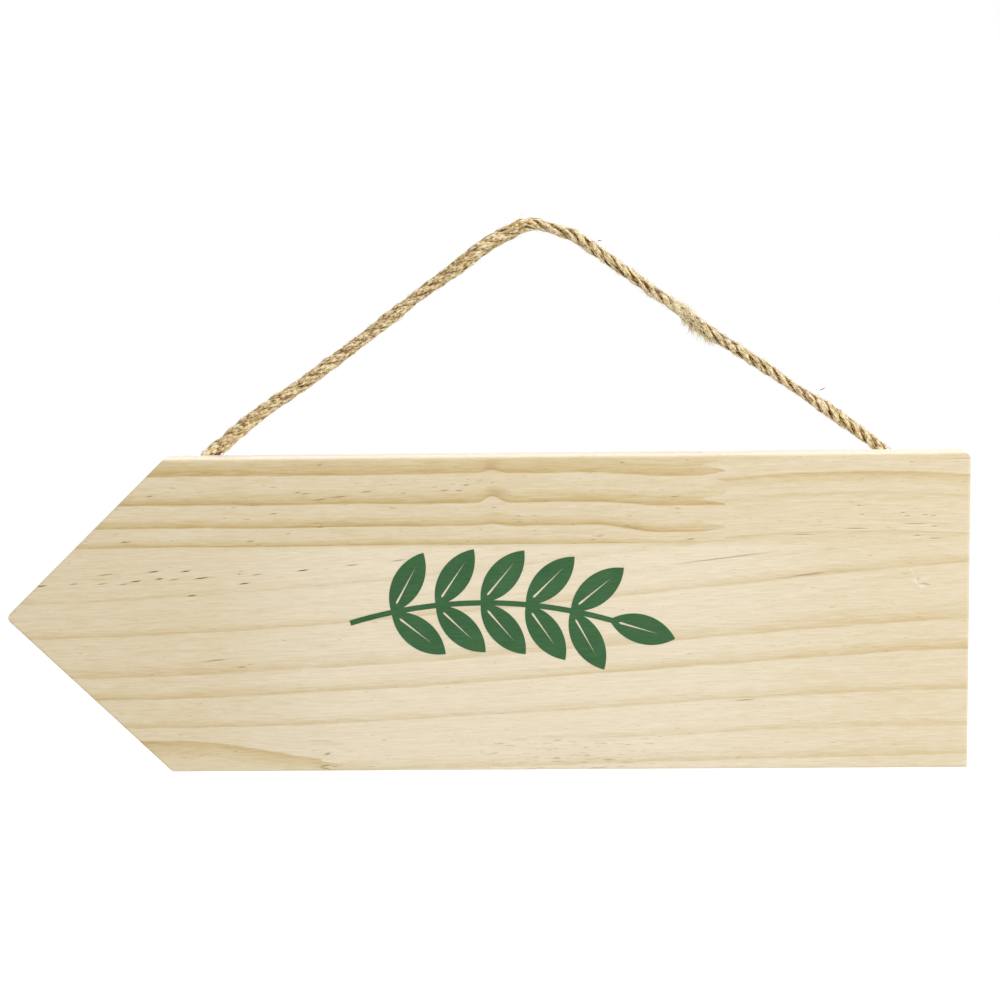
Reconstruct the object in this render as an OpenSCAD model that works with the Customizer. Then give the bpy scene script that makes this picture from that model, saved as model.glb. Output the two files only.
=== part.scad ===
/* [Board] */
// Length of the board, from the sharp point to the tail edge
board_l = 394; // [390:1:600]
// Height of the board
board_h = 130; // [100:1:200]
// Thickness of the board
board_t = 15; // [12:0.5:20]
// Length of the point, from the shoulders to the sharp point
point_l = 67; // [45:1:120]
// Distance from the hook to the tail edge, along the board
tail_reach = 177; // [172:1:240]
// Drop from the hook to the top edge of the board
hook_drop = 90; // [88:1:92]
// Radius of the point's corner
tip_r = 3; // [1:0.5:8]
// Radius of the two shoulder corners
shoulder_r = 4; // [1:0.5:10]
// Radius of the knocked upper tail corner
tail_top_r = 3; // [0.5:0.5:8]
// Radius of the lower tail corner
tail_bottom_r = 1; // [0.5:0.5:8]
// Radius of the eased edges round both faces
edge_r = 1; // [0.4:0.2:2]

/* [Staves] */
// Height of the top strip at the middle of the board
top_strip_h = 36; // [32:1:44]
// How much taller the top strip is at the point than at the tail
top_strip_taper = 1.2; // [0:0.2:4]
// Height of the bottom strip
bottom_strip_h = 13.4; // [10:0.2:30]
// Place of the roots of the top strip's finger joint, from the hook
top_joint_x = 69; // [-60:1:120]
// Place of the roots of the bottom strip's finger joint, from the hook
bottom_joint_x = -88; // [-110:1:120]
// Length of a finger
finger_l = 9; // [5:0.5:15]
// Distance from one finger to the next
finger_pitch = 4.6; // [3:0.2:8]
// Width of a finger at its tip
finger_tip = 0.7; // [0.4:0.1:1.2]

/* [Rope] */
// Diameter of the rope
rope_d = 6; // [5:0.5:7]

/* [Staples] */
// Diameter of the staple wire
wire_d = 1.2; // [0.8:0.1:1.8]
// Depth that a leg goes into the board before its point starts
leg_depth = 6; // [4:0.5:8]
// Length of the point on a leg
leg_point = 2; // [1:0.5:3]
// Play between the rope and a staple's crown
crown_play = 0.1; // [0.05:0.05:0.5]
// Play between a leg and its hole
leg_play = 0.03; // [0.02:0.01:0.1]
// Distance from a cut end of the rope to its lower staple
lower_staple = 6; // [4:1:8]
// Distance from a lower staple to the upper one
staple_pitch = 9; // [6:1:10]

/* [Painted sprig] */
// Place of the stem's foot, from the hook
sprig_x = -75; // [-90:1:-40]
// Height of the stem's foot above the middle of the board
sprig_up = -3; // [-10:1:10]
// Length of the stem
stem_l = 108; // [60:1:140]
// Height of the stem's arch
stem_rise = 8; // [3:1:20]
// Width of the stem
stem_w = 2.2; // [1:0.2:4]
// Length of a leaf
leaf_l = 28; // [15:1:34]
// Width of a leaf
leaf_w = 12; // [6:0.5:16]
// Number of pairs of leaves
leaf_pairs = 5; // [2:1:8]
// Angle between a leaf and the stem
leaf_angle = 50; // [25:1:70]
// Width of the bare line along the middle of a leaf
vein_w = 0.9; // [0.4:0.1:2]
// Thickness of the paint
paint_t = 0.12; // [0.08:0.02:0.3]

/* [Hidden] */
$fn = 48;

// The origin is the underside of the rope where it lies over the hook.
// X runs from the point to the tail, Y from the front to the back, and Z up.
back_y = -rope_d / 2;
front_y = back_y - board_t;
tail_x = tail_reach;
point_x = tail_x - board_l;
shoulder_x = point_x + point_l;
middle_x = (point_x + tail_x) / 2;
top_z = -hook_drop;
bottom_z = top_z - board_h;
middle_z = (top_z + bottom_z) / 2;
bottom_glue_z = bottom_z + bottom_strip_h;

// How far a cutting shape passes the faces that it cuts
reach = 10;
left_x = point_x - reach;
right_x = tail_x + reach;
over_z = top_z + reach;
under_z = bottom_z - reach;
// Straight steps in the arc of a rounded corner
arc_steps = 6;

// Corners of the outline with their radii, anticlockwise from the point
corners = [
    [point_x, middle_z, tip_r],
    [shoulder_x, bottom_z, shoulder_r],
    [tail_x, bottom_z, tail_bottom_r],
    [tail_x, top_z, tail_top_r],
    [shoulder_x, top_z, shoulder_r]
];

// Centre line of the rope in X and Z, from its left end over the hook to its right end
rope_route = [
    [-150, -126],
    [-150, -118],
    [-150, -110],
    [-146, -103],
    [-138.5, -96.5],
    [-131.5, -90],
    [-127, -85.5],
    [-118.7, -78.2],
    [-106.9, -69.7],
    [-93.9, -61.2],
    [-80.9, -51.7],
    [-67.9, -42.2],
    [-54.8, -32.3],
    [-42.9, -23.2],
    [-30.7, -14.8],
    [-20, -6.6],
    [-9.8, -0.8],
    [0, 3],
    [9.8, 0.9],
    [18, -2.1],
    [26, -7.5],
    [35.9, -14.7],
    [47.9, -23.2],
    [59.8, -31.7],
    [71.9, -41.1],
    [84, -49],
    [96.8, -57.3],
    [108.8, -65.7],
    [121.1, -73.9],
    [132.8, -82.3],
    [140.7, -88.3],
    [147.5, -94.5],
    [153, -102],
    [154.5, -110],
    [154.5, -118],
    [154.5, -126]
];
// Flat sides round the rope's section
rope_sides = 12;

// Staples: a crown goes round the back of the rope, and its legs run forwards
crown_r = rope_d / 2 + crown_play + wire_d / 2;
leg_l = -back_y + leg_depth;
left_end = rope_route[0];
right_end = rope_route[len(rope_route) - 1];
upper_staple = lower_staple + staple_pitch;

// Sprig: its stem is an arc, and each leaf is where two equal circles overlap
stem_r = (stem_l * stem_l / 4 + stem_rise * stem_rise) / (2 * stem_rise);
stem_half_turn = asin(stem_l / (2 * stem_r));
leaf_r = (leaf_l * leaf_l + leaf_w * leaf_w) / (4 * leaf_w);
// Place of the first pair of leaves along the stem, from 0 at its foot to 1 at its end
first_leaf = 0.16;
// Where the bare line in a leaf starts and ends, as shares of the leaf's length
vein_start = 0.14;
vein_end = 0.8;

function wrapped(list, i) = list[(i + len(list)) % len(list)];
function backwards(list) = [for (i = [len(list) - 1:-1:0]) list[i]];
function flat(p) = [p[0], p[1]];
function unit(v) = v / norm(v);
function heading(v) = atan2(v[1], v[0]);
function at_angle(a) = [cos(a), sin(a)];

// Points of the arc that rounds corner i of the outline
function corner_arc(i) =
    let(
        here = flat(corners[i]),
        before = unit(flat(wrapped(corners, i - 1)) - here),
        after = unit(flat(wrapped(corners, i + 1)) - here),
        half = acos(before * after) / 2,
        r = corners[i][2],
        centre = here + unit(before + after) * r / sin(half),
        start = heading(-before) - 90,
        turn = 180 - 2 * half
    )
    [for (k = [0:arc_steps]) centre + r * at_angle(start + turn * k / arc_steps)];

// Section of the prism that eases the two edges along one side of the board.
// Its first number is the distance outside the side, its second that from mid-thickness.
function eased_section() =
    let(
        half_t = board_t / 2,
        over = half_t + edge_r,
        shallow = 22.5,
        steep = 67.5,
        bend = edge_r * (1 - cos(45)),
        shallow_end = -edge_r - (over - half_t) / tan(shallow),
        nose = (half_t - edge_r) / tan(steep)
    )
    [
        [-2 * board_l, over],
        [shallow_end, over],
        [-bend, half_t - bend],
        [nose, 0],
        [-bend, bend - half_t],
        [shallow_end, -over],
        [-2 * board_l, -over]
    ];

// Height of the glue line below the top strip, at a place along the board
function top_glue_z(x) = top_z - top_strip_h + top_strip_taper * (x - middle_x) / board_l;

// Zigzag of a finger joint, going down from one height past another
function finger_line(root_x, high, low) =
    let(
        tip_x = root_x + finger_l,
        flank = finger_pitch / 2 - finger_tip
    )
    [for (z = [high:-finger_pitch:low]) each [
        [root_x, z],
        [root_x, z - finger_tip],
        [tip_x, z - finger_tip - flank],
        [tip_x, z - 2 * finger_tip - flank]
    ]];

// Direction of the rope at one of its points, halfway between its two neighbours
function rope_heading(i) =
    let(
        before = rope_route[max(i - 1, 0)],
        after = rope_route[min(i + 1, len(rope_route) - 1)]
    )
    heading(after - before);

// Ring of the rope's surface round one of its points
function rope_ring(i) =
    let(
        here = rope_route[i],
        across = at_angle(rope_heading(i) + 90)
    )
    [for (k = [0:rope_sides - 1])
        let(
            a = 360 * k / rope_sides,
            out = rope_d / 2 * cos(a) * across
        )
        [here[0] + out[0], rope_d / 2 * sin(a), here[1] + out[1]]
    ];

// A flat shape in the plane of the board, as thick as from one Y to another
module plate(near_y, far_y) {
    translate([0, far_y, 0])
        rotate([90, 0, 0])
            linear_extrude(height = far_y - near_y)
                children();
}

// Prism along side i of the board, which eases its front and back edges
module eased_side(i) {
    here = flat(corners[i]);
    there = flat(wrapped(corners, i + 1));
    translate([here[0], (front_y + back_y) / 2, here[1]])
        rotate([0, -heading(there - here), 0])
            translate([-board_l, 0, 0])
                rotate([90, 0, 90])
                    linear_extrude(height = norm(there - here) + 2 * board_l)
                        polygon([for (p = eased_section()) [p[1], -p[0]]]);
}

// Both legs of a staple, at a height above the rope's cut end, and how much wider
module staple_legs(rope_end, up, extra) {
    r = wire_d / 2 + extra;
    for (side = [-1, 1])
        translate([rope_end[0] + side * crown_r, 0, rope_end[1] + up])
            rotate([90, 0, 0])
                rotate_extrude()
                    polygon([
                        [0, 0],
                        [r, 0],
                        [r, leg_l],
                        [extra, leg_l + leg_point],
                        [0, leg_l + leg_point]
                    ]);
}

// The glued panel, cut to the arrow's outline, with eased edges and driven holes
module panel() {
    difference() {
        intersection() {
            plate(front_y, back_y)
                polygon([for (i = [0:len(corners) - 1]) each corner_arc(i)]);
            intersection_for(i = [0:len(corners) - 1])
                eased_side(i);
        }
        for (rope_end = [left_end, right_end])
            for (up = [lower_staple, upper_staple])
                staple_legs(rope_end, up, leg_play);
    }
}

// The part of the panel that lies inside a flat outline
module stave() {
    color("wheat")
        intersection() {
            panel();
            plate(front_y - reach, back_y + reach)
                children();
        }
}

// Outline of the top strip from end to end
module top_strip() {
    polygon([
        [left_x, over_z],
        [left_x, top_glue_z(left_x)],
        [right_x, top_glue_z(right_x)],
        [right_x, over_z]
    ]);
}

// Outline of the bottom strip from end to end
module bottom_strip() {
    polygon([
        [left_x, bottom_glue_z],
        [left_x, under_z],
        [right_x, under_z],
        [right_x, bottom_glue_z]
    ]);
}

// Everything on the side of a finger joint that an end line lies on
module beside_joint(end_x, root_x, high, low) {
    line = finger_line(root_x, high, low);
    polygon(concat([[end_x, low - 2 * reach], [end_x, high]], line));
}

module top_left_stave() {
    stave()
        intersection() {
            top_strip();
            beside_joint(left_x, top_joint_x, over_z, top_z - top_strip_h);
        }
}

module top_right_stave() {
    stave()
        intersection() {
            top_strip();
            beside_joint(right_x, top_joint_x, over_z, top_z - top_strip_h);
        }
}

module middle_stave() {
    stave()
        polygon([
            [left_x, top_glue_z(left_x)],
            [left_x, bottom_glue_z],
            [right_x, bottom_glue_z],
            [right_x, top_glue_z(right_x)]
        ]);
}

module bottom_left_stave() {
    stave()
        intersection() {
            bottom_strip();
            beside_joint(left_x, bottom_joint_x, bottom_glue_z + reach, bottom_z);
        }
}

module bottom_right_stave() {
    stave()
        intersection() {
            bottom_strip();
            beside_joint(right_x, bottom_joint_x, bottom_glue_z + reach, bottom_z);
        }
}

module rope() {
    last = len(rope_route) - 1;
    sides = rope_sides;
    color("tan")
        polyhedron(
            points = [for (i = [0:last]) each rope_ring(i)],
            faces = concat(
                [[for (k = [0:sides - 1]) k]],
                [for (i = [0:last - 1], k = [0:sides - 1])
                    [i * sides + k, (i + 1) * sides + k, (i + 1) * sides + (k + 1) % sides,
                        i * sides + (k + 1) % sides]],
                [[for (k = [sides - 1:-1:0]) last * sides + k]]
            )
        );
}

// A bent wire staple over the rope, at a height above the rope's cut end
module staple(rope_end, up) {
    color("silver") {
        translate([rope_end[0], 0, rope_end[1] + up])
            rotate_extrude(angle = 180)
                translate([crown_r, 0])
                    circle(d = wire_d);
        staple_legs(rope_end, up, 0);
    }
}

module left_upper_staple() {
    staple(left_end, upper_staple);
}

module left_lower_staple() {
    staple(left_end, lower_staple);
}

module right_upper_staple() {
    staple(right_end, upper_staple);
}

module right_lower_staple() {
    staple(right_end, lower_staple);
}

// Turns a shape to a place along the stem, from 0 at its foot to 1 at its end
module along_stem(place) {
    turn = stem_half_turn * (1 - 2 * place);
    translate([stem_l / 2, stem_rise - stem_r])
        rotate(turn)
            translate([0, stem_r])
                children();
}

// A leaf with its base at the origin, pointing along X, split by its bare middle line
module leaf() {
    difference() {
        intersection() {
            translate([leaf_l / 2, leaf_r - leaf_w / 2])
                circle(r = leaf_r);
            translate([leaf_l / 2, leaf_w / 2 - leaf_r])
                circle(r = leaf_r);
        }
        polygon([
            [leaf_l * vein_start, 0],
            [leaf_l * vein_start + vein_w, -vein_w / 2],
            [leaf_l * vein_end, 0],
            [leaf_l * vein_start + vein_w, vein_w / 2]
        ]);
    }
}

// The stem, as a thin part of a ring
module stem() {
    far = 2 * stem_r;
    difference() {
        intersection() {
            translate([stem_l / 2, stem_rise - stem_r])
                circle(r = stem_r + stem_w / 2, $fn = 96);
            polygon([
                [stem_l / 2, stem_rise - stem_r],
                [stem_l / 2, stem_rise - stem_r] + far * at_angle(90 + stem_half_turn),
                [stem_l / 2, stem_rise - stem_r] + far * at_angle(90 - stem_half_turn)
            ]);
        }
        translate([stem_l / 2, stem_rise - stem_r])
            circle(r = stem_r - stem_w / 2, $fn = 96);
    }
}

module painted_sprig() {
    color("seagreen")
        plate(front_y - paint_t, front_y)
            translate([sprig_x, middle_z + sprig_up]) {
                stem();
                along_stem(1)
                    translate([-stem_w, 0])
                        leaf();
                for (i = [0:leaf_pairs - 1])
                    along_stem(first_leaf + (1 - first_leaf) * i / leaf_pairs)
                        for (side = [-1, 1])
                            rotate(side * leaf_angle)
                                leaf();
            }
}

top_left_stave();
top_right_stave();
middle_stave();
bottom_left_stave();
bottom_right_stave();
rope();
left_upper_staple();
left_lower_staple();
right_upper_staple();
right_lower_staple();
painted_sprig();
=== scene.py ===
import math
import random

import bpy
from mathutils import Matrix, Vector, noise


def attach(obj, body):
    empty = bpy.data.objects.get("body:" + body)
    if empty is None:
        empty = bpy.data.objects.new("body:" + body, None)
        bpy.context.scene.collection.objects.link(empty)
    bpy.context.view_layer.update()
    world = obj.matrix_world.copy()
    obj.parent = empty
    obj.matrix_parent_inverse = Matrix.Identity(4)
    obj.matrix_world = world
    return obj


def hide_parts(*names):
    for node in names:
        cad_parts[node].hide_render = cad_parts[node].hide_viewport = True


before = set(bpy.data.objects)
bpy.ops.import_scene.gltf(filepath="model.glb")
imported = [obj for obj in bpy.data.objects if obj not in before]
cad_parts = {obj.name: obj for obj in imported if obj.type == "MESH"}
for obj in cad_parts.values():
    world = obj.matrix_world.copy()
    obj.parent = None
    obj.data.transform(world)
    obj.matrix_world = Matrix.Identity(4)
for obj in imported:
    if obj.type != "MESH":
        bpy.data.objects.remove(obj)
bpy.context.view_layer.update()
bpy.ops.object.select_all(action="DESELECT")

# Camera
# A long lens about a metre in front of the board, a little above it and looking slightly down,
# so that a thin line of the board's top edge shows.
camera_data = bpy.data.cameras.new("camera")
camera_data.sensor_width = 36.0
camera_data.lens = 93.27
camera = bpy.data.objects.new("camera", camera_data)
camera.location = (0.0161, -1.0598, 0.0316)
camera.rotation_euler = (math.radians(82.385), math.radians(0.705), math.radians(1.513))
bpy.context.scene.collection.objects.link(camera)
bpy.context.scene.camera = camera

# Hanging rope
# Natural jute, three strands laid up right-handed to about 6 mm. It runs from behind the left end
# of the board over a hook to the right end, and both cut ends lie on the back under wire staples.
rope_diameter = 0.006
rope_route = [
    (-0.150, -0.126), (-0.150, -0.118), (-0.150, -0.110), (-0.146, -0.103), (-0.1385, -0.0965),
    (-0.1315, -0.090), (-0.127, -0.0855), (-0.1187, -0.0782), (-0.1069, -0.0697),
    (-0.0939, -0.0612), (-0.0809, -0.0517), (-0.0679, -0.0422), (-0.0548, -0.0323),
    (-0.0429, -0.0232), (-0.0307, -0.0148), (-0.020, -0.0066), (-0.0098, -0.0008), (0.0, 0.003),
    (0.0098, 0.0009), (0.018, -0.0021), (0.026, -0.0075), (0.0359, -0.0147), (0.0479, -0.0232),
    (0.0598, -0.0317), (0.0719, -0.0411), (0.084, -0.049), (0.0968, -0.0573), (0.1088, -0.0657),
    (0.1211, -0.0739), (0.1328, -0.0823), (0.1407, -0.0883), (0.1475, -0.0945), (0.153, -0.102),
    (0.1545, -0.110), (0.1545, -0.118), (0.1545, -0.126),
]
# The rope is modelled in rings of points this far apart.
ring_step = 0.0005
# The length of one full twist, at the left end and at the right end.
left_lay = 0.026
right_lay = 0.0170
strands = 3
strand_radius = 0.00148
strand_offset = 0.00150
strand_sides = 24
# Each strand is spun from four yarns the other way round, so that they run nearly along the rope.
yarns = 4
yarn_turn_share = 0.85
# How far a strand wanders in and out of its place.
most_drift = 0.00022
# One strand has frayed here, and its fibres are teased out for 6 mm to each side.
fray_middle = 0.0612
fray_reach = 0.0060
most_teased = 1.6
# How full the rope is, from its left end to its right end, as (x in metres, share of 6 mm).
rope_fullness = [
    (-0.150, 1.02), (-0.1335, 1.06), (-0.128, 0.98), (-0.120, 1.08), (-0.109, 0.91), (-0.103, 0.97),
    (-0.097, 0.86), (-0.091, 0.94), (-0.080, 0.91), (-0.067, 0.82), (-0.061, 0.91), (-0.055, 0.90),
    (-0.049, 0.78), (-0.040, 0.83), (-0.030, 1.01), (-0.018, 1.04), (-0.006, 1.0), (0.0, 0.90),
    (0.006, 0.71), (0.014, 0.79), (0.024, 0.83), (0.036, 0.77), (0.041, 0.75), (0.047, 0.72),
    (0.055, 0.71), (0.063, 0.82), (0.070, 0.82), (0.078, 0.69), (0.084, 0.79), (0.088, 0.75),
    (0.098, 0.74), (0.107, 0.56), (0.112, 0.65), (0.119, 0.90), (0.131, 0.85), (0.140, 0.77),
    (0.148, 0.84), (0.1545, 1.02),
]
# How far the strands bulge below the rope's middle line, or above it where the value is less than
# 0, as (x, distance), both in metres.
rope_bulges = [
    (-0.136, 0.0), (-0.1335, -0.0010), (-0.130, -0.0010), (-0.1275, 0.0), (0.047, 0.0),
    (0.051, 0.0006), (0.055, 0.0),
]


def between(table, x):
    """The value at x on the straight lines through a table of (x, value)."""
    for (x0, y0), (x1, y1) in zip(table, table[1:]):
        if x <= x1:
            share = min(max((x - x0) / (x1 - x0), 0.0), 1.0)
            return y0 + (y1 - y0) * share
    return table[-1][1]


def rounded_line(points, steps):
    """A smooth line through all the points."""
    line = []
    for i in range(len(points) - 1):
        before = points[max(i - 1, 0)]
        start = points[i]
        end = points[i + 1]
        after = points[min(i + 2, len(points) - 1)]
        for k in range(steps):
            t = k / steps
            once = (end - before) * t
            twice = (2 * before - 5 * start + 4 * end - after) * t**2
            thrice = (3 * start - before - 3 * end + after) * t**3
            line.append((2 * start + once + twice + thrice) / 2)
    line.append(points[-1].copy())
    return line


def evenly(line, step):
    """The line again with points a step apart."""
    spaced = [line[0].copy()]
    left = step
    for start, end in zip(line, line[1:]):
        stretch = (end - start).length
        gone = 0.0
        while stretch - gone >= left:
            gone += left
            spaced.append(start.lerp(end, gone / stretch))
            left = step
        left -= stretch - gone
    return spaced


rope_centres = evenly(rounded_line([Vector((x, 0.0, z)) for x, z in rope_route], 30), ring_step)
ring_count = len(rope_centres)
rope_along = []
for i in range(ring_count):
    ahead = rope_centres[min(i + 1, ring_count - 1)]
    behind = rope_centres[max(i - 1, 0)]
    rope_along.append((ahead - behind).normalized())
# The twist is uneven, as it is in rope that has been handled.
rope_turn = [0.0]
for i in range(1, ring_count):
    lay = left_lay + (right_lay - left_lay) * (i / ring_count)
    uneven = 1 + 0.5 * noise.noise(Vector((i * ring_step * 95, 3.0, 8.0)))
    rope_turn.append(rope_turn[-1] + 2 * math.pi * ring_step / lay * uneven)
through = Vector((0.0, 1.0, 0.0))


def looseness(x):
    """How open the lay is: 0 on the left limb, which is worn smooth, and 1 on the right one."""
    return between([(-0.012, 0.0), (0.016, 1.0)], x)


def strand_turn(i, strand):
    """How far a strand has gone round the rope's middle line at a ring."""
    return rope_turn[i] + strand * 2 * math.pi / strands


def yarn_turn(i, strand, angle):
    """Where round its strand a point lies, counted from a yarn that turns on its way."""
    return angle + yarn_turn_share * strand_turn(i, strand)


def yarn_noise(spin, spread, down_rope):
    """Unevenness from -1 to 1, which follows the yarns and closes on itself round a strand."""
    return noise.noise(Vector((math.cos(spin) * spread, math.sin(spin) * spread, down_rope)))


def on_strand(i, strand, angle, stand_off=0.0):
    """A point on a strand's surface, its outward direction, and the way the strand runs there."""
    along = rope_along[i]
    across = through.cross(along)
    turn = strand_turn(i, strand)
    full = between(rope_fullness, rope_centres[i].x)
    outward = across * math.cos(turn) + through * math.sin(turn)
    onward = through * math.cos(turn) - across * math.sin(turn)
    slope = 2 * math.pi * strand_offset / right_lay
    runs = (along + onward * slope).normalized()
    sideways = runs.cross(outward)
    open_lay = looseness(rope_centres[i].x)
    # A strand is wider than it is high, most of all where it is worn.
    flat = 1.24 - 0.14 * open_lay
    way = (outward * math.cos(angle) + sideways * (math.sin(angle) / flat)).normalized()
    shape = outward * math.cos(angle) + sideways * (math.sin(angle) * flat)
    # Its surface swells along the rope, and its yarns stand out with lumps and tucks of their own.
    spin = yarn_turn(i, strand, angle)
    down_rope = i * ring_step * 1000
    swelling = noise.noise(Vector((down_rope * 0.17, 9.0 * strand, 0.0)))
    lump = yarn_noise(spin, 1.4, down_rope * 0.3 + 9 * strand)
    tuck = yarn_noise(spin, 3.5, down_rope * 0.8 + 5 * strand)
    yarn_relief = (0.07 + 0.05 * open_lay) * math.cos(yarns * spin)
    relief = 1 + yarn_relief + 0.15 * swelling + 0.12 * lump + (0.09 + 0.05 * open_lay) * tuck
    rings_to_end = min(i, ring_count - 1 - i)
    rounding = math.sqrt(min(1.0, 0.15 + rings_to_end / 4))
    drift = noise.noise(Vector((down_rope * 0.12, 4.0 + 7.0 * strand, 2.0))) * most_drift
    middle = rope_centres[i] + outward * (strand_offset * full + drift)
    middle = middle + across * between(rope_bulges, rope_centres[i].x)
    radius = strand_radius * full * relief * rounding
    return middle + shape * radius + way * stand_off, way, runs


# Each point carries its place on its strand in millimetres, and how high it lies on the rope: about
# 0 in a groove, 1 on a crest, and more than 1 where the fibres are teased out.
rope_points = []
rope_faces = []
strand_place = []
crest = []
for strand in range(strands):
    first = len(rope_points)
    for i in range(ring_count):
        for side in range(strand_sides):
            angle = 2 * math.pi * side / strand_sides
            point = on_strand(i, strand, angle)[0]
            rope_points.append(point)
            spin = yarn_turn(i, strand, angle)
            strand_place.append((
                math.cos(spin) * 1.5 + 20 * strand,
                math.sin(spin) * 1.5,
                i * ring_step * 1000,
            ))
            x = rope_centres[i].x
            full = between(rope_fullness, x)
            height = (point - rope_centres[i]).length / (full * rope_diameter / 2)
            teased = most_teased - most_teased * ((x - fray_middle) / fray_reach) ** 2
            crest.append(max(height ** (1.35 + 0.75 * looseness(x)), teased))
    for i in range(ring_count - 1):
        for side in range(strand_sides):
            here = first + i * strand_sides
            after = here + strand_sides
            over = (side + 1) % strand_sides
            rope_faces.append((here + side, here + over, after + over, after + side))
    last = first + (ring_count - 1) * strand_sides
    rope_faces.append(tuple(first + side for side in reversed(range(strand_sides))))
    rope_faces.append(tuple(last + side for side in range(strand_sides)))

rope_mesh = bpy.data.meshes.new("jute_rope")
rope_mesh.from_pydata(rope_points, [], rope_faces)
rope_mesh.attributes.new("strand_place", "FLOAT_VECTOR", "POINT")
rope_mesh.attributes.new("crest", "FLOAT", "POINT")
for i, place in enumerate(strand_place):
    rope_mesh.attributes["strand_place"].data[i].vector = place
for i, height in enumerate(crest):
    rope_mesh.attributes["crest"].data[i].value = height
rope_mesh.shade_smooth()
jute_rope = bpy.data.objects.new("jute_rope", rope_mesh)
bpy.context.scene.collection.objects.link(jute_rope)


class Flow:
    """One output of a material's nodes, which adds and multiplies as a number does."""

    def __init__(self, tree, out=None):
        self.tree = tree
        self.out = out

    def node(self, kind, settings=None, inputs=None, output=0):
        made = self.tree.nodes.new(kind)
        for name, value in (settings or {}).items():
            if name == "stops":
                stops = made.color_ramp.elements
                while len(stops) < len(value):
                    stops.new(0.5)
                for stop, (position, colour) in zip(stops, value):
                    stop.position = position
                    stop.color = colour
            else:
                setattr(made, name, value)
        for key, value in (inputs or {}).items():
            if isinstance(value, Flow):
                self.tree.links.new(value.out, made.inputs[key])
            else:
                made.inputs[key].default_value = value
        return Flow(self.tree, made.outputs[output] if made.outputs else None)

    def maths(self, operation, *values):
        return self.node("ShaderNodeMath", {"operation": operation}, dict(enumerate(values)))

    def __add__(self, other):
        return self.maths("ADD", self, other)

    def __radd__(self, other):
        return self.maths("ADD", other, self)

    def __sub__(self, other):
        return self.maths("SUBTRACT", self, other)

    def __rsub__(self, other):
        return self.maths("SUBTRACT", other, self)

    def __mul__(self, other):
        return self.maths("MULTIPLY", self, other)

    def __rmul__(self, other):
        return self.maths("MULTIPLY", other, self)

    def __truediv__(self, other):
        return self.maths("DIVIDE", self, other)

    def __pow__(self, other):
        return self.maths("POWER", self, other)


def new_finish(name):
    """An empty material, and the start of its nodes."""
    finish = bpy.data.materials.new(name)
    finish.use_nodes = True
    finish.node_tree.nodes.clear()
    return finish, Flow(finish.node_tree)


def paint(red, green, blue):
    """A colour as a paint chart gives it, 0 to 255, in the linear values that a shader takes."""
    shares = [value / 255 for value in (red, green, blue)]
    linear = [s / 12.92 if s <= 0.04045 else ((s + 0.055) / 1.055) ** 2.4 for s in shares]
    return (linear[0], linear[1], linear[2], 1.0)


def fade(value, low, high):
    """0 below low, 1 above high, and a soft rise from one to the other."""
    return value.node(
        "ShaderNodeMapRange",
        {"interpolation_type": "SMOOTHSTEP"},
        {0: value, 1: low, 2: high, 3: 0.0, 4: 1.0},
    )


def cloud(place, scale, detail=3.0, roughness=0.55):
    """A cloudy pattern from 0 to 1."""
    return place.node(
        "ShaderNodeTexNoise",
        None,
        {"Vector": place, "Scale": scale, "Detail": detail, "Roughness": roughness},
    )


def stretched(x, y, z):
    """A place put together from three values."""
    return x.node("ShaderNodeCombineXYZ", None, {0: x, 1: y, 2: z})


def parts_of(place):
    """The x, y and z of a place."""
    parts = place.node("ShaderNodeSeparateXYZ", None, {0: place})
    return [Flow(parts.tree, part) for part in parts.out.node.outputs]


def mixed(share, first, second, blend="MIX"):
    """Two colours mixed by a share."""
    return share.node(
        "ShaderNodeMix",
        {"data_type": "RGBA", "blend_type": blend},
        {0: share, 6: first, 7: second},
        output=2,
    )


def coloured(tone, *stops):
    """A tone's colour, from stops of (tone, paint)."""
    return tone.node("ShaderNodeValToRGB", {"stops": stops}, {0: tone})


def end_in_shader(colour, height, bump, distance, values):
    """The shader and output of a material, with a bump of a strength and a depth in metres."""
    relief = height.node(
        "ShaderNodeBump",
        None,
        {"Strength": bump, "Distance": distance, "Height": height},
    )
    inputs = {"Base Color": colour, "Normal": relief, **values}
    shader = colour.node("ShaderNodeBsdfPrincipled", None, inputs)
    shader.node("ShaderNodeOutputMaterial", None, {"Surface": shader})


def jute_shader(colour, height, bump, sheen):
    """What the twisted jute and the loose jute share."""
    end_in_shader(colour, height, bump, 0.0003, {
        "Roughness": 0.82,
        "Specular IOR Level": 0.25,
        "Sheen Weight": sheen,
        "Sheen Roughness": 0.5,
        "Sheen Tint": paint(255, 240, 205),
    })


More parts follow.
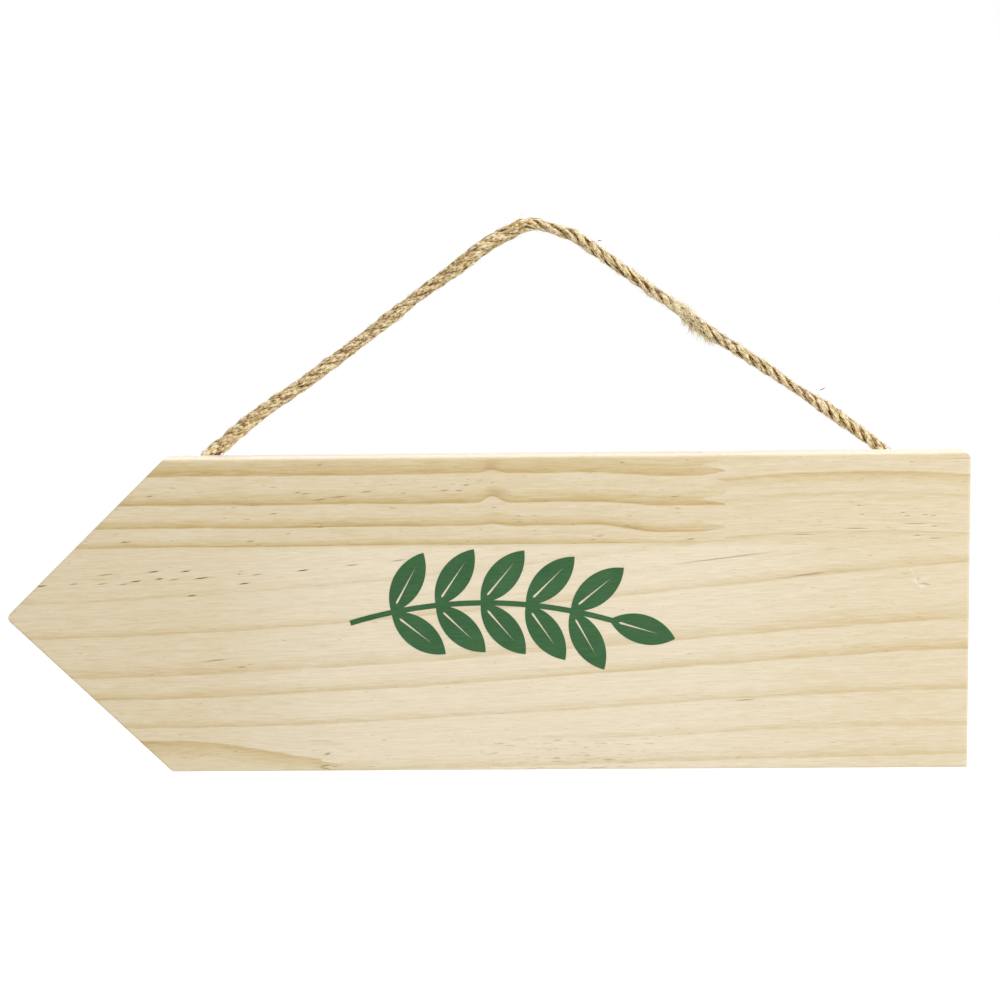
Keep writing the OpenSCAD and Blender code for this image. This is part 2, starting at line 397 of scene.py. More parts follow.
def twisted_jute_finish():
    """Fibres along the strands, darkened in the grooves by painted shade and some dust, paler where
    the rope is teased, and painted paler on the right limb, where the lay is open, as painted light
    from the upper right. The z of strand_place is the distance in millimetres from the rope's left
    end."""
    finish, start = new_finish("twisted jute")
    place = start.node("ShaderNodeAttribute", {"attribute_name": "strand_place"}, None, "Vector")
    high = start.node("ShaderNodeAttribute", {"attribute_name": "crest"}, None, "Fac")
    x, y, z = parts_of(place)
    fibres = cloud(stretched(x * 1.5, y * 1.5, z * 0.5), 1.0, 3.0, 0.65)
    tufts = cloud(stretched(x * 0.8, y * 0.8, z * 0.7), 1.0, 2.0)
    # The grooves are darkened with painted shade, for the shade that falls between the strands, and
    # with some dust.
    grooves = (fade(high, 0.58, 0.88) - 0.85) * (0.2 + fade(tufts, 0.36, 0.62) * 0.9)
    # Past the top of the loop the right limb is painted paler: painted light, for the light that
    # falls on it from the upper right.
    open_lay = fade(z, 195.0, 225.0)
    paler_tuft = fade(high, 1.1, 1.6) * 0.36
    worn = fade(z, 115.0, 140.0) * 0.05 + fade(z, 285.0, 305.0) * 0.07
    tone = 0.475 + (fibres - 0.5) * 2.4 + (tufts - 0.5) * 1.1 + grooves * (1 + open_lay * 0.12)
    colour = coloured(
        tone + open_lay * 0.20 + paler_tuft - worn,
        (0.08, paint(92, 54, 20)),
        (0.28, paint(158, 124, 72)),
        (0.48, paint(208, 184, 138)),
        (0.64, paint(234, 214, 174)),
        (0.85, paint(253, 243, 216)),
    )
    hue = cloud(stretched(x * 0.8 + 5.0, y * 0.8, z * 0.45), 1.0, 2.0)
    colour = mixed(fade(hue, 0.52, 0.66), colour, paint(255, 232, 214), "MULTIPLY")
    colour = mixed(1 - fade(hue, 0.36, 0.48), colour, paint(240, 240, 208), "MULTIPLY")
    jute_shader(colour, fibres + tufts * 0.5, 0.8, 0.15)
    return finish


rope_mesh.materials.append(twisted_jute_finish())

# Loose jute fibres
# Short stiff hairs that stand out all along the rope, thicker on its right side, a teased-out tuft
# where one strand has frayed, and the brushes of fibre at the two cut ends.
fibre_dice = random.Random(11)


class FibreBunch:
    """Tapered three-sided hairs, gathered into one mesh, each with its own shade from 0 to 1."""

    def __init__(self):
        self.points = []
        self.faces = []
        self.tones = []

    def add(self, line, thickness, tone):
        first = len(self.points)
        for k, spot in enumerate(line[:-1]):
            ahead = (line[k + 1] - spot).normalized()
            level = ahead.orthogonal().normalized()
            upright = ahead.cross(level)
            radius = thickness / 2 * (1 - 0.5 * k / len(line))
            for side in range(3):
                angle = 2 * math.pi * side / 3
                spoke = level * math.cos(angle) + upright * math.sin(angle)
                self.points.append(spot + spoke * radius)
        self.points.append(line[-1])
        self.tones.extend([tone] * (len(self.points) - first))
        self.faces.append((first + 2, first + 1, first))
        for k in range(len(line) - 2):
            here = first + 3 * k
            for side in range(3):
                over = (side + 1) % 3
                self.faces.append((here + side, here + over, here + 3 + over, here + 3 + side))
        here = first + 3 * (len(line) - 2)
        for side in range(3):
            self.faces.append((here + side, here + (side + 1) % 3, len(self.points) - 1))

    def piece(self, name):
        mesh = bpy.data.meshes.new(name)
        mesh.from_pydata(self.points, [], self.faces)
        mesh.attributes.new("fibre_tone", "FLOAT", "POINT")
        for i, tone in enumerate(self.tones):
            mesh.attributes["fibre_tone"].data[i].value = tone
        mesh.shade_smooth()
        made = bpy.data.objects.new(name, mesh)
        bpy.context.scene.collection.objects.link(made)
        mesh.materials.append(loose_jute)
        return made


def hair_line(root, heading, curl, length, steps):
    """A hair's line from its root, which bends towards curl on its way."""
    line = [root]
    for k in range(steps):
        heading = (heading + curl * (0.9 / steps)).normalized()
        line.append(line[-1] + heading * (length / steps))
    return line


def clear_of_board(line):
    """Whether a hair stays half a millimetre above the board, or behind its back."""
    lowest_above = -0.0895
    nearest_behind = -0.0029
    return all(spot.z > lowest_above or spot.y > nearest_behind for spot in line)


def any_way(dice):
    """A direction, as likely one way as another."""
    return Vector((dice.gauss(0, 1), dice.gauss(0, 1), dice.gauss(0, 1))).normalized()


def loose_jute_finish():
    """Each hair has a shade of its own, from dark bark to bleached."""
    finish, start = new_finish("loose jute")
    place = start.node("ShaderNodeTexCoord", None, None, output="Object")
    own_tone = start.node("ShaderNodeAttribute", {"attribute_name": "fibre_tone"}, None, "Fac")
    specks = cloud(place, 2500.0, 2.0)
    colour = coloured(
        own_tone + (specks - 0.5) * 0.25,
        (0.00, paint(112, 80, 40)),
        (0.22, paint(178, 150, 90)),
        (0.42, paint(216, 189, 129)),
        (0.70, paint(244, 222, 168)),
        (0.88, paint(252, 235, 188)),
        (1.00, paint(255, 245, 212)),
    )
    jute_shader(colour, specks, 0.15, 0.5)
    return finish


loose_jute = loose_jute_finish()

# Broken fibre ends that lie almost flat on the strands and blur their edges.
broken_end_count = 5200
surface_fibres = FibreBunch()
for count in range(broken_end_count):
    i = fibre_dice.randrange(8, ring_count - 8)
    strand = fibre_dice.randrange(strands)
    root, way, runs = on_strand(i, strand, fibre_dice.uniform(-1.7, 1.7), 0.00001)
    ahead = (runs + rope_along[i] * fibre_dice.uniform(0.0, 1.6)) * fibre_dice.choice((-1, 1))
    heading = ahead.normalized() + way * fibre_dice.uniform(0.02, 0.22) + any_way(fibre_dice) * 0.12
    curl = way * fibre_dice.uniform(-1.0, -0.1) + any_way(fibre_dice) * 0.25
    length = fibre_dice.uniform(0.0014, 0.0042)
    line = hair_line(root, heading.normalized(), curl, length, 3)
    if clear_of_board(line):
        surface_fibres.add(line, fibre_dice.uniform(0.00008, 0.00018), fibre_dice.random())

# Longer fibres that run along the rope and bridge the grooves between its strands. The right limb
# has fewer of them.
bridging_fibre_count = 1900
points_in_bridge = 5
for count in range(bridging_fibre_count):
    first = fibre_dice.randrange(8, ring_count - 20)
    if fibre_dice.random() < 0.45 * looseness(rope_centres[first].x):
        continue
    angle = fibre_dice.uniform(0, 2 * math.pi)
    twist = fibre_dice.gauss(0, 0.10)
    stride = fibre_dice.randint(1, 3)
    lift = fibre_dice.uniform(0.88, 1.0)
    line = []
    for k in range(points_in_bridge):
        i = first + k * stride
        across = through.cross(rope_along[i])
        turned = angle + twist * k
        spoke = across * math.cos(turned) + through * math.sin(turned)
        full = between(rope_fullness, rope_centres[i].x)
        line.append(rope_centres[i] + spoke * (lift * full * rope_diameter / 2))
    if clear_of_board(line):
        thickness = fibre_dice.uniform(0.00010, 0.00024)
        surface_fibres.add(line, thickness, 0.2 + 0.8 * fibre_dice.random())
rope_nap = surface_fibres.piece("rope_nap")

# Hairs that stand out from the rope. Most of those on the worn left part are left out, and a few of
# the rest are long.
fuzz_count = 6600
worn_part_end = 0.02
share_worn_off = 0.6
share_long = 0.03
fuzz = FibreBunch()
for count in range(fuzz_count):
    i = fibre_dice.randrange(6, ring_count - 6)
    if rope_centres[i].x < worn_part_end and fibre_dice.random() < share_worn_off:
        continue
    strand = fibre_dice.randrange(strands)
    root, way, _ = on_strand(i, strand, fibre_dice.uniform(-1.3, 1.3), -0.0001)
    ahead = rope_along[i] * fibre_dice.choice((-1, 1))
    lift = fibre_dice.uniform(0.15, 0.9)
    heading = (ahead + way * lift + any_way(fibre_dice) * 0.3).normalized()
    curl = ahead * 0.5 - way * fibre_dice.uniform(-0.2, 0.9) + any_way(fibre_dice) * 0.7
    length = 0.0010 + 0.0026 * fibre_dice.random() ** 2
    if fibre_dice.random() < share_long:
        length *= 2.2
    line = hair_line(root, heading, curl, length, 4)
    if clear_of_board(line):
        fuzz.add(line, fibre_dice.uniform(0.00005, 0.00010), 0.35 + 0.65 * fibre_dice.random())

# Two dark bits of bark, each on the end of a thin hair that stands clear of the rope.
bark_hair_thickness = 0.00010
bark_thickness = 0.00042
bark_end = Vector((0.0005, 0.0, 0.0002))
for route in (
    [(0.1170, -0.0700), (0.1172, -0.0685), (0.1174, -0.0670), (0.1179, -0.0658), (0.1196, -0.0651)],
    [(0.0262, -0.0080), (0.0266, -0.0062), (0.0270, -0.0046), (0.0275, -0.0039), (0.0287, -0.0039)],
):
    line = [Vector((x, -0.0006, z)) for x, z in route]
    fuzz.add(line[:4], bark_hair_thickness, 0.30)
    fuzz.add(line[3:] + [line[4] + bark_end], bark_thickness, 0.0)
rope_fuzz = fuzz.piece("rope_fuzz")

# The teased-out tuft: pale fluff above the rope, combed locks over its front, some of them dark, and
# a beard of golden locks that hangs below it.
tuft = FibreBunch()
tuft_root_radius = 0.0021
fluff_count = 260
fluff_thickness = 0.00005
front_lock_count = 34
hairs_in_front_lock = 5
front_lock_thickness = 0.00022
beard_lock_count = 44
hairs_in_beard_lock = 9
beard_thickness = 0.00012


def tuft_hair(x, side, lift, length, thickness, tone, jitter):
    """A hair from the rope's side at x, which stands up by lift and leans down the rope."""
    i = min(range(ring_count), key=lambda n: abs(rope_centres[n].x - x))
    along = rope_along[i]
    side = (side - along * side.dot(along)).normalized()
    root = rope_centres[i] + side * tuft_root_radius
    heading = (side * lift + along + any_way(fibre_dice) * jitter).normalized()
    curl = side * fibre_dice.uniform(-0.5, 0.7) + any_way(fibre_dice) * 0.8
    tuft.add(hair_line(root, heading, curl, length, 6), thickness, tone)


for count in range(fluff_count):
    side = Vector((0.3, fibre_dice.uniform(-0.9, 0.5), 1.0)) + any_way(fibre_dice) * 0.4
    x = fibre_dice.gauss(0.0612, 0.0024)
    tone = 1.0 + 0.1 * fibre_dice.random()
    tuft_hair(x, side, 0.5, fibre_dice.uniform(0.0015, 0.0040), fluff_thickness, tone, 0.35)
for lock in range(front_lock_count):
    side = Vector((0.0, -1.0, fibre_dice.uniform(-0.9, 0.9)))
    x = fibre_dice.gauss(0.0635, 0.0028)
    tone = fibre_dice.choice((0.15, 0.5, 0.8, 0.95, 1.1))
    length = fibre_dice.uniform(0.0018, 0.0045)
    for count in range(hairs_in_front_lock):
        near = x + fibre_dice.gauss(0, 0.0002)
        own_length = length * fibre_dice.uniform(0.7, 1.1)
        tuft_hair(near, side, 0.12, own_length, front_lock_thickness, tone, 0.12)
for lock in range(beard_lock_count):
    side = Vector((-0.3, fibre_dice.uniform(-0.8, 0.4), -1.0)) + any_way(fibre_dice) * 0.3
    x = fibre_dice.uniform(0.0618, 0.0750)
    tone = fibre_dice.uniform(0.6, 1.15)
    length = fibre_dice.uniform(0.0017, 0.0051)
    lift = fibre_dice.uniform(0.25, 1.3)
    for count in range(hairs_in_beard_lock):
        near = x + fibre_dice.gauss(0, 0.0003)
        own_length = length * fibre_dice.uniform(0.6, 1.1)
        tuft_hair(near, side, lift, own_length, beard_thickness, tone, 0.25)
rope_tuft = tuft.piece("rope_tuft")

# The frayed brush at each cut end, whose hairs spread out the more the further they are from the
# rope's middle.
brush_hair_count = 260
spread_at_root = 120
spread_on_the_way = 300
end_pieces = []
for name, last_ring, inward in (
    ("left_rope_end", 0, 1),
    ("right_rope_end", ring_count - 1, -1),
):
    i = last_ring + 3 * inward
    brush = FibreBunch()
    for count in range(brush_hair_count):
        strand = fibre_dice.randrange(strands)
        inside = fibre_dice.random() ** 0.5
        rim = on_strand(i, strand, fibre_dice.uniform(-math.pi, math.pi))[0]
        root = rope_centres[i].lerp(rim, inside)
        off_middle = root - rope_centres[i]
        away = rope_along[i] * -inward
        heading = (away + off_middle * spread_at_root + any_way(fibre_dice) * 0.2).normalized()
        curl = off_middle * spread_on_the_way + any_way(fibre_dice) * 0.5
        line = hair_line(root, heading, curl, fibre_dice.uniform(0.0015, 0.005), 4)
        if clear_of_board(line):
            brush.add(line, fibre_dice.uniform(0.00006, 0.00014), fibre_dice.random())
    end_pieces.append(brush.piece(name))

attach(jute_rope, "root")
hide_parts("rope")
for piece in [rope_nap, rope_fuzz, rope_tuft] + end_pieces:
    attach(piece, "root")

# Pine staves
# Five lengths of fast-grown pine, planed and sanded and left bare. The two narrow strips are finger
# jointed along their length, and all are edge-glued into one board whose arrow end is sawn last.
palest_wood = paint(244, 231, 203)
earlywood = paint(235, 220, 190)
darker_earlywood = paint(225, 206, 166)
latewood = paint(208, 181, 127)
ring_edge_brown = paint(180, 150, 102)
resin = paint(98, 68, 24)
faded_resin = paint(134, 99, 46)
knot_brown = paint(190, 158, 118)
joint_brown = paint(150, 116, 66)
pale_nick = paint(252, 244, 222)
# The colour of the painted highlight along the top edge.
edge_highlight_paint = paint(243, 239, 229)
# How far each pattern of rings is known past its lowest and highest ring, in millimetres.
room_below_rings = 8
room_above_rings = 16
# How far the board's face lies in front of the rope's middle, in millimetres.
face_depth = 18.0
# Where the middle stave's fibres start, which show through the paint on it as well.
middle_seed = 4.0


def in_millimetres(start):
    """The place on a piece, in millimetres."""
    place = start.node("ShaderNodeTexCoord", None, None, output="Object")
    return place.node("ShaderNodeVectorMath", {"operation": "SCALE"}, {0: place, "Scale": 1000.0})


def level_grain(x, z):
    """How high a point lies in the fine grain, which climbs a little towards the tail."""
    return z - x * 0.012


def wood_fibres(x, y, level, seed):
    """The fine fibres of the sawn wood, from 0 to 1."""
    return cloud(stretched(x * 0.11, y * 1.6, level * 1.5 + seed), 1.0, 4.0, 0.72)


def pine_finish(name, grain_height, rings, marks, seed):
    """Sawn pine. grain_height gives how high a point lies in the tree's grain, in millimetres,
    rings are (sharp edge, width of the dark band, strength) at those heights, from low to high,
    and marks gives the stave's own marks as (share, colour, depth)."""
    finish, start = new_finish(name)
    x, y, z = parts_of(in_millimetres(start))
    # The rings wander slowly and shiver finely about their course.
    wander = cloud(stretched(x * 0.012 + seed, y * 0.03, z * 0.03), 1.0, 2.0)
    shiver = cloud(stretched(x * 0.06, y * 0.3, z * 0.35 + seed), 1.0, 3.0)
    grain = grain_height(x, y, z) + (wander - 0.5) * 1.4 + (shiver - 0.5) * 0.9
    # Each ring is darkest just above its sharp edge, and fades out over its dark band.
    low = rings[0][0] - room_below_rings
    high = rings[-1][0] + room_above_rings
    stops = [(0.0, (0.08, 0.08, 0.08, 1))]
    for edge, band, strength in rings:
        for height, shade in (
            (edge - 0.2, 0.03),
            (edge + 0.25, strength),
            (edge + 0.35 * band, 0.6 * strength),
            (edge + 1.1 * band, 0.10 * strength),
        ):
            stops.append(((height - low) / (high - low), (shade, shade, shade, 1)))
    bands = coloured((grain - low) / (high - low), *stops)
    uneven = cloud(stretched(x * 0.02, y * 0.1, grain * 0.12 + seed), 1.0, 2.0)
    ring = bands * (0.6 + uneven * 0.8)
    level = level_grain(x, z)
    streaks = cloud(stretched(x * 0.03, y * 0.5, grain * 0.8 + seed), 1.0, 3.0, 0.6)
    fibres = wood_fibres(x, y, level, seed)
    pores = cloud(stretched(x * 0.3 + seed, y * 2.2, level * 2.2), 1.0, 2.0, 0.6)
    # The wood is painted paler along the middle of the board: painted light, a broad pool of the
    # lamps' light.
    painted_light_middle = fade(x, -150.0, -60.0) * (1 - fade(x, 50.0, 150.0) * 0.8)
    painted_light_middle = painted_light_middle * (1 - fade(z, -128.0, -126.0))
    tone = ring + (streaks - 0.5) * 0.5 + (fibres - 0.5) - painted_light_middle * 0.26
    colour = coloured(
        tone * 0.72 + 0.264,
        (0.0, palest_wood),
        (0.20, earlywood),
        (0.424, darker_earlywood),
        (0.744, latewood),
        (1.0, ring_edge_brown),
    )
    short_pores = fade(pores, 0.64, 0.80) * 0.35
    colour = mixed(short_pores, colour, paint(170, 146, 108))
    height = ring * 0.05 + fibres * 0.07 + streaks * 0.03 - short_pores * 0.05
    for share, tint, depth in marks(x, y, z):
        colour = mixed(share, colour, tint)
        height = height - share * depth
    end_in_shader(colour, height, 0.7, 0.001, {
        "Roughness": 0.62 + fibres * 0.12 - ring * 0.1,
        "Specular IOR Level": 0.3,
        "Sheen Weight": 0.45,
        "Sheen Roughness": 0.4,
    })
    return finish


def size_of(value):
    """A value without its sign."""
    return value.maths("ABSOLUTE", value)


def dash(x, z, middle, height, length, rise=0.12, thickness=0.36):
    """A line about a middle, on the face, in millimetres, which thins out to both ends."""
    aside = size_of(x - middle)
    along = (1 - fade(aside, length * 0.1, length * 0.5)) * 0.7
    along = along + (1 - fade(aside, 0.0, length)) * 0.3
    off_line = size_of(z - height - (x - middle) * rise)
    return along * (1 - fade(off_line, thickness * 0.2, thickness))


def dashes(x, z, marks, *shape):
    """The dashes of a list of (middle, height, length) together, all of one rise and thickness."""
    together = 0.0
    for middle, height, length in marks:
        together = together + dash(x, z, middle, height, length, *shape)
    return together


def on_face(y):
    """1 on the board's face, and 0 from a millimetre behind it."""
    return 1 - fade(y, 0.2 - face_depth, 1.2 - face_depth)


def scattered_dashes(x, y, z, seed, sparse):
    """Fine short resin lines all over a face."""
    spots = cloud(stretched(x * 0.2 + seed, y * 0.8, z * 2.0), 1.0, 1.0, 0.4)
    return fade(spots, sparse, sparse + 0.08)


def top_edge_highlight(z):
    """The top edge, painted paler than the face: a painted highlight where the light from above
    catches it.
    """
    return fade(z, -90.6, -90.15) * 0.42


def top_left_grain(x, y, z):
    """Level grain, drawn up beside a hidden knot and dipping towards the finger joint."""
    aside = x + 16.2
    from_knot = (aside * aside + 2.5) ** 0.5 - 1.58
    draw_up = ((1 - fade(from_knot, -3.0, 6.5)) ** 1.4) * fade(z, -122.0, -107.0) * 3.9
    draw_up = draw_up * (1 - fade(z, -104.0, -97.0) * 0.5)
    dip = fade(z, -130.0, -122.0) * 1.9 + (1 - fade(size_of(z + 118.5), 2.0, 9.0)) * 1.8
    dip = dip * fade(x, 24.0, 54.0)
    return z - x * 0.004 - draw_up + dip + (y + face_depth) * 0.55


def top_left_marks(x, y, z):
    """A brown shade above and below the knot, and the short resin lines."""
    above = (1 - fade(size_of(x + 16.5), 0.5, 4.5)) * (1 - fade(size_of(z + 93.8), 0.5, 3.0))
    below = (1 - fade(size_of(x + 14.0), 1.0, 6.0)) * (1 - fade(size_of(z + 104.8), 0.5, 3.2))
    knot = (above + below) * 0.34
    specks = dash(x, z, -21.0, -99.6, 1.6) * 0.25 + dash(x, z, -16.1, -100.6, 1.8) * 0.3
    specks = specks + 0.65 * dashes(x, z, [
        (-92.5, -104.5, 4.0), (-95.4, -104.0, 3.0), (-67.5, -103.9, 5.0), (-86.6, -107.0, 7.0),
        (-78.7, -105.9, 9.0), (-35.8, -103.6, 4.0), (-29.8, -103.7, 3.5), (-26.9, -101.5, 3.0),
        (-86.3, -92.8, 3.0), (-155.8, -105.0, 3.5), (-105.5, -112.6, 3.5), (-86.4, -118.2, 4.0),
        (-166.3, -123.8, 5.5), (-170.4, -126.7, 3.0), (-115.2, -123.8, 4.0), (64.0, -124.4, 3.5),
    ], 0.08)
    specks = specks * on_face(y) + scattered_dashes(x, y, z, 3.0, 0.73) * 0.6
    return [(knot, knot_brown, 0.0), (specks, faded_resin, 0.12), (top_edge_highlight(z), edge_highlight_paint, 0.0)]


def top_right_grain(x, y, z):
    """Grain that bows up along the strip's middle, with the dark side of each ring below."""
    bow = ((x - 132) / 50) ** 2 * 2.1
    return (y + face_depth) * 0.4 - z - bow


def top_right_marks(x, y, z):
    """A split at the tail's corner, and fibres torn by the planer, each with a pale lip below."""
    split = fade(x, 168.0, 172.0) * (1 - fade(size_of(z + 92.4), 0.05, 0.3)) * 0.45
    specks = scattered_dashes(x, y, z, 8.0, 0.74) * 0.45
    tears = [
        (131.1, -120.6, 12.0), (155.0, -118.9, 12.0), (109.2, -122.9, 9.0), (149.8, -114.3, 2.0),
        (151.5, -115.6, 3.0), (158.8, -115.3, 3.0), (162.3, -115.6, 2.0), (132.2, -111.2, 2.5),
        (133.3, -114.9, 2.0), (162.4, -120.0, 3.0), (155.8, -123.7, 3.0), (162.8, -124.9, 7.0),
    ]
    dark = split + specks + dashes(x, z, tears, 0.0, 0.34) * on_face(y) * 0.55
    pale = dashes(x, z + 0.55, tears, 0.0, 0.34) * on_face(y) * 0.4
    return [(dark, faded_resin, 0.12), (pale, pale_nick, 0.0), (top_edge_highlight(z), edge_highlight_paint, 0.0)]


def middle_grain(x, y, z):
    """Grain that climbs towards the tail, more steeply near the top glue line."""
    reach = x / 100
    climb = reach * 8.1 - reach**3 * 0.59 + reach * (z + 170) * 0.086
    return z - climb + (y + face_depth) * 0.75


def middle_marks(x, y, z):
    """The short resin lines above the point, the long ones near the tail, and three small dents,
    each drawn as a painted highlight with a painted shadow beside it.
    """
    strong = dashes(x, z, [
        (-155.2, -136.1, 5.0), (-142.0, -136.0, 4.5), (-162.5, -140.0, 5.0), (-135.6, -138.9, 7.0),
        (-118.2, -141.3, 5.0), (-93.9, -136.0, 5.5), (-201.5, -141.7, 5.0), (-152.9, -139.1, 3.5),
        (-139.8, -146.1, 4.0),
    ])
    faint = dashes(x, z, [
        (-175.1, -137.2, 8.0), (-167.8, -141.2, 4.0), (-146.8, -139.4, 5.0), (-113.0, -137.6, 5.0),
        (-73.7, -134.0, 6.0), (-54.8, -132.2, 7.0), (-176.5, -141.0, 5.0), (-188.3, -141.0, 4.0),
        (-131.0, -173.2, 12.0), (-120.0, -176.0, 4.0), (-120.0, -137.4, 1.5),
    ])
    long_lines = dash(x, z, 77.5, -132.3, 44.0, 0.12, 0.35)
    long_lines = long_lines + dash(x, z, 111.5, -139.3, 18.0, 0.12, 0.45)
    long_lines = long_lines + dash(x, z, 86.0, -191.1, 11.0, 0.1)
    everywhere = scattered_dashes(x, y, z, 13.0, 0.75) * 0.45
    # Each dent is a pale painted highlight with a dark painted shadow beside it, the shadow in the
    # resin colour.
    nick_highlights = dash(x, z, 157.9, -144.6, 3.6, -0.12, 0.85) + dash(x, z, 155.2, -142.4, 2.2, -1.0, 0.9)
    nick_highlights = nick_highlights + dash(x, z, 153.9, -138.4, 2.2, -1.5, 0.9) * 0.6
    nick_shade = dash(x, z, 159.2, -143.6, 5.0, -0.16, 0.4)
    nick_shade = nick_shade + dash(x, z, 156.2, -141.4, 1.6, 0.0, 0.6) * 0.6
    dark = (strong + faint * 0.55 + (long_lines + nick_shade) * 0.5) * on_face(y)
    nick_highlights = nick_highlights * on_face(y) * 0.6
    return [(everywhere, faded_resin, 0.1), (dark, resin, 0.12), (nick_highlights, pale_nick, 0.15)]


def bottom_left_grain(x, y, z):
    """One ring edge runs down from the glue line to the finger joint, dark side below."""
    fall = fade(x, -150.0, -60.0) * 11.0
    return (y + face_depth) * 0.5 - z - fall


def joint_gaps(x, y, z):
    """Glue-darkened gaps at two of the lower joint's finger tips."""
    gaps = dash(x, z, -85.5, -212.6, 3.0, 0.15, 0.7) + dash(x, z, -86.6, -217.6, 5.5, 0.12, 0.5)
    gaps = gaps + dash(x, z, -86.6, -218.7, 5.5, -0.16, 0.45)
    return gaps * on_face(y)


def bottom_left_marks(x, y, z):
    """Scattered resin lines, and the gaps at the joint's tips."""
    dark = scattered_dashes(x, y, z, 5.0, 0.74) * 0.5
    return [(dark, faded_resin, 0.12), (joint_gaps(x, y, z) * 0.7, joint_brown, 0.05)]


def bottom_right_grain(x, y, z):
    """Nearly straight grain that climbs a little towards the tail."""
    return z - x * 0.022 + (y + face_depth) * 0.45


def bottom_right_marks(x, y, z):
    """Many short ticks along the strip's middle, and a brown stain at the joint."""
    ticks = scattered_dashes(x, y, z, 17.0, 0.64) * (1 - fade(size_of(x - 15.0), 25.0, 50.0)) * 0.35
    dark = scattered_dashes(x, y, z, 2.0, 0.74) * 0.45 + ticks
    stain = (1 - fade(size_of(x + 86.0), 1.0, 4.5)) * (1 - fade(size_of(z + 213.0), 0.5, 2.0))
    brown = stain * 0.3 + joint_gaps(x, y, z) * 0.8
    return [(brown, joint_brown, 0.05), (dark, faded_resin, 0.12)]


stave_finishes = {
    "top_left_stave": pine_finish(
        "pine top left",
        top_left_grain,
        [
            (-138.0, 4.0, 0.5), (-125.9, 3.0, 0.75), (-118.0, 3.8, 0.80), (-108.6, 5.2, 0.80),
            (-96.6, 8.0, 0.72), (-85.0, 6.0, 0.7),
        ],
        top_left_marks,
        2.0,
    ),
    "top_right_stave": pine_finish(
        "pine top right",
        top_right_grain,
        [
            (88.0, 3.2, 0.32), (97.3, 4.6, 0.52), (105.6, 3.0, 0.28), (121.2, 2.6, 0.30),
            (134.0, 3.0, 0.3),
        ],
        top_right_marks,
        7.0,
    ),
    "middle_stave": pine_finish(
        "pine middle",
        middle_grain,
        [
            (-208.2, 3.0, 0.38), (-195.5, 3.6, 0.48), (-181.5, 4.2, 0.58),
            (-170.8, 6.0, 0.45), (-151.2, 3.4, 0.50), (-142.5, 2.0, 0.14), (-134.2, 3.0, 0.28),
        ],
        middle_marks,
        middle_seed,
    ),
    "bottom_left_stave": pine_finish(
        "pine bottom left",
        bottom_left_grain,
        [(196.0, 5.0, 0.4), (206.6, 8.0, 0.62), (222.0, 5.0, 0.5)],
        bottom_left_marks,
        9.0,
    ),
    "bottom_right_stave": pine_finish(
        "pine bottom right",
        bottom_right_grain,
        [(-230.0, 4.0, 0.5), (-218.0, 4.5, 0.42), (-205.0, 3.0, 0.3)],
        bottom_right_marks,
        1.0,
    ),
}


def refinish(node_name, finish):
    """Gives a CAD piece its finish."""
    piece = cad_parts[node_name]
    piece.data.materials.clear()
    piece.data.materials.append(finish)


for name, finish in stave_finishes.items():
    refinish(name, finish)

# Painted sprig
# A leafy sprig printed on the face in one coat of matt green paint, thin enough for the grain to
# show through as faint streaks.


def paint_finish():
    """Matt paint, a little uneven, through which the fibres of the wood show."""
    finish, start = new_finish("matt green paint")
    place = in_millimetres(start)
    x, y, z = parts_of(place)
    fibres = wood_fibres(x, y, level_grain(x, z), middle_seed)
    patches = cloud(place, 0.06, 2.0)
    colour = coloured(
        fibres * 0.7 + patches * 0.3,
        (0.30, paint(38, 79, 40)),
        (0.50, paint(50, 94, 52)),
        (0.72, paint(69, 114, 70)),
    )
    end_in_shader(colour, fibres, 0.6, 0.00006, {
        "Roughness": 0.5 + fibres * 0.2,
        "Specular IOR Level": 0.35,
    })
    return finish


refinish("painted_sprig", paint_finish())

# Wire staples
# Four staples of galvanised round wire, hammered over the rope's two ends into the back.


def wire_finish():
    """Zinc in pale and dark patches, with fine scratches along the wire."""
    finish, start = new_finish("galvanised wire")
    place = start.node("ShaderNodeTexCoord", None, None, output="Object")
    spangle = cloud(place, 700.0, 2.0)
    x, y, z = parts_of(place)
    scratches = cloud(stretched(x * 300.0, y * 2500.0, z * 2500.0), 1.0)
    colour = coloured(
        spangle,
        (0.30, paint(150, 152, 152)),
        (0.55, paint(196, 198, 198)),
        (0.75, paint(222, 223, 220)),
    )
    end_in_shader(colour, scratches, 0.3, 0.0001, {
        "Metallic": 1.0,
        "Roughness": 0.3 + spangle * 0.25,
    })
    return finish


galvanised = wire_finish()
for name in ("left_upper_staple", "left_lower_staple", "right_upper_staple", "right_lower_staple"):
    refinish(name, galvanised)

# Room
# A plain pale floor well below the board, white surroundings, and soft lamps above and in front.
floor_level = -0.55
floor_width = 12.0
bpy.ops.object.select_all(action="DESELECT")
bpy.ops.mesh.primitive_plane_add(size=floor_width, location=(0.0, 0.0, floor_level))
floor = bpy.context.object
floor.name = "floor"


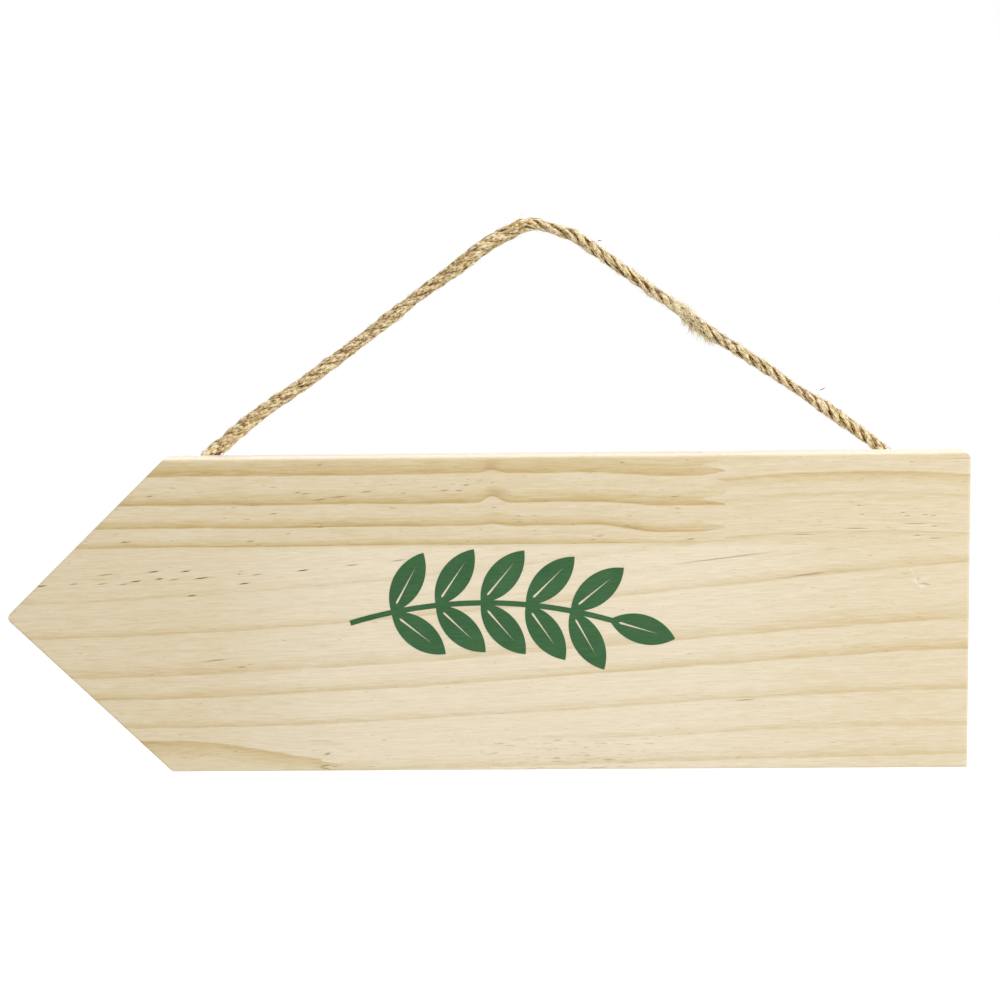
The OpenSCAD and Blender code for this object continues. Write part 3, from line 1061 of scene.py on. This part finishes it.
def seen_white(start):
    """1 for rays from the camera and for reflections, so that they find plain white."""
    ray = start.node("ShaderNodeLightPath", None, None, output="Is Camera Ray")
    outputs = ray.out.node.outputs
    glossy = Flow(ray.tree, outputs["Is Glossy Ray"])
    seen_through = Flow(ray.tree, outputs["Is Transmission Ray"])
    return ray.maths("MAXIMUM", ray.maths("MAXIMUM", ray, glossy), seen_through)


floor_finish, start = new_finish("pale floor")
glow = start.node("ShaderNodeEmission", None, {"Color": (1, 1, 1, 1), "Strength": 0.62})
matt = start.node("ShaderNodeBsdfDiffuse", None, {"Color": (0.8, 0.8, 0.8, 1)})
nothing = start.node("ShaderNodeEmission", None, {"Color": (0, 0, 0, 1), "Strength": 0.0})
shown = start.node("ShaderNodeMixShader", None, {0: seen_white(start), 1: nothing, 2: glow})
both = start.node("ShaderNodeAddShader", None, {0: matt, 1: shown})
start.node("ShaderNodeOutputMaterial", None, {"Surface": both})
floor.data.materials.append(floor_finish)

room = bpy.data.worlds.new("room")
room.use_nodes = True
room.node_tree.nodes.clear()
start = Flow(room.node_tree)
around = start.node("ShaderNodeBackground", None, {"Color": (1, 1, 1, 1), "Strength": 0.5})
white = start.node("ShaderNodeBackground", None, {"Color": (1, 1, 1, 1), "Strength": 1.0})
seen = start.node("ShaderNodeMixShader", None, {0: seen_white(start), 1: around, 2: white})
start.node("ShaderNodeOutputWorld", None, {"Surface": seen})
bpy.context.scene.world = room


def soft_lamp(name, place, aim, width, power):
    """A square lamp at a place, turned to what it lights."""
    lamp = bpy.data.lights.new(name, "AREA")
    lamp.shape = "SQUARE"
    lamp.size = width
    lamp.energy = power
    lamp_object = bpy.data.objects.new(name, lamp)
    lamp_object.location = place
    facing = Vector(aim) - Vector(place)
    lamp_object.visible_camera = False
    lamp_object.rotation_euler = facing.to_track_quat("-Z", "Y").to_euler()
    bpy.context.scene.collection.objects.link(lamp_object)


soft_lamp("front_lamp", (0.78, -1.0, 0.55), (0.1, 0.0, -0.15), 0.8, 10.4)
soft_lamp("top_lamp", (0.3, 0.1, 1.3), (0.0, 0.0, -0.1), 0.9, 11.0)
soft_lamp("back_lamp", (-0.5, 1.8, 0.5), (0.0, 0.0, -0.1), 1.0, 6.0)

bpy.context.scene.view_settings.view_transform = "Standard"
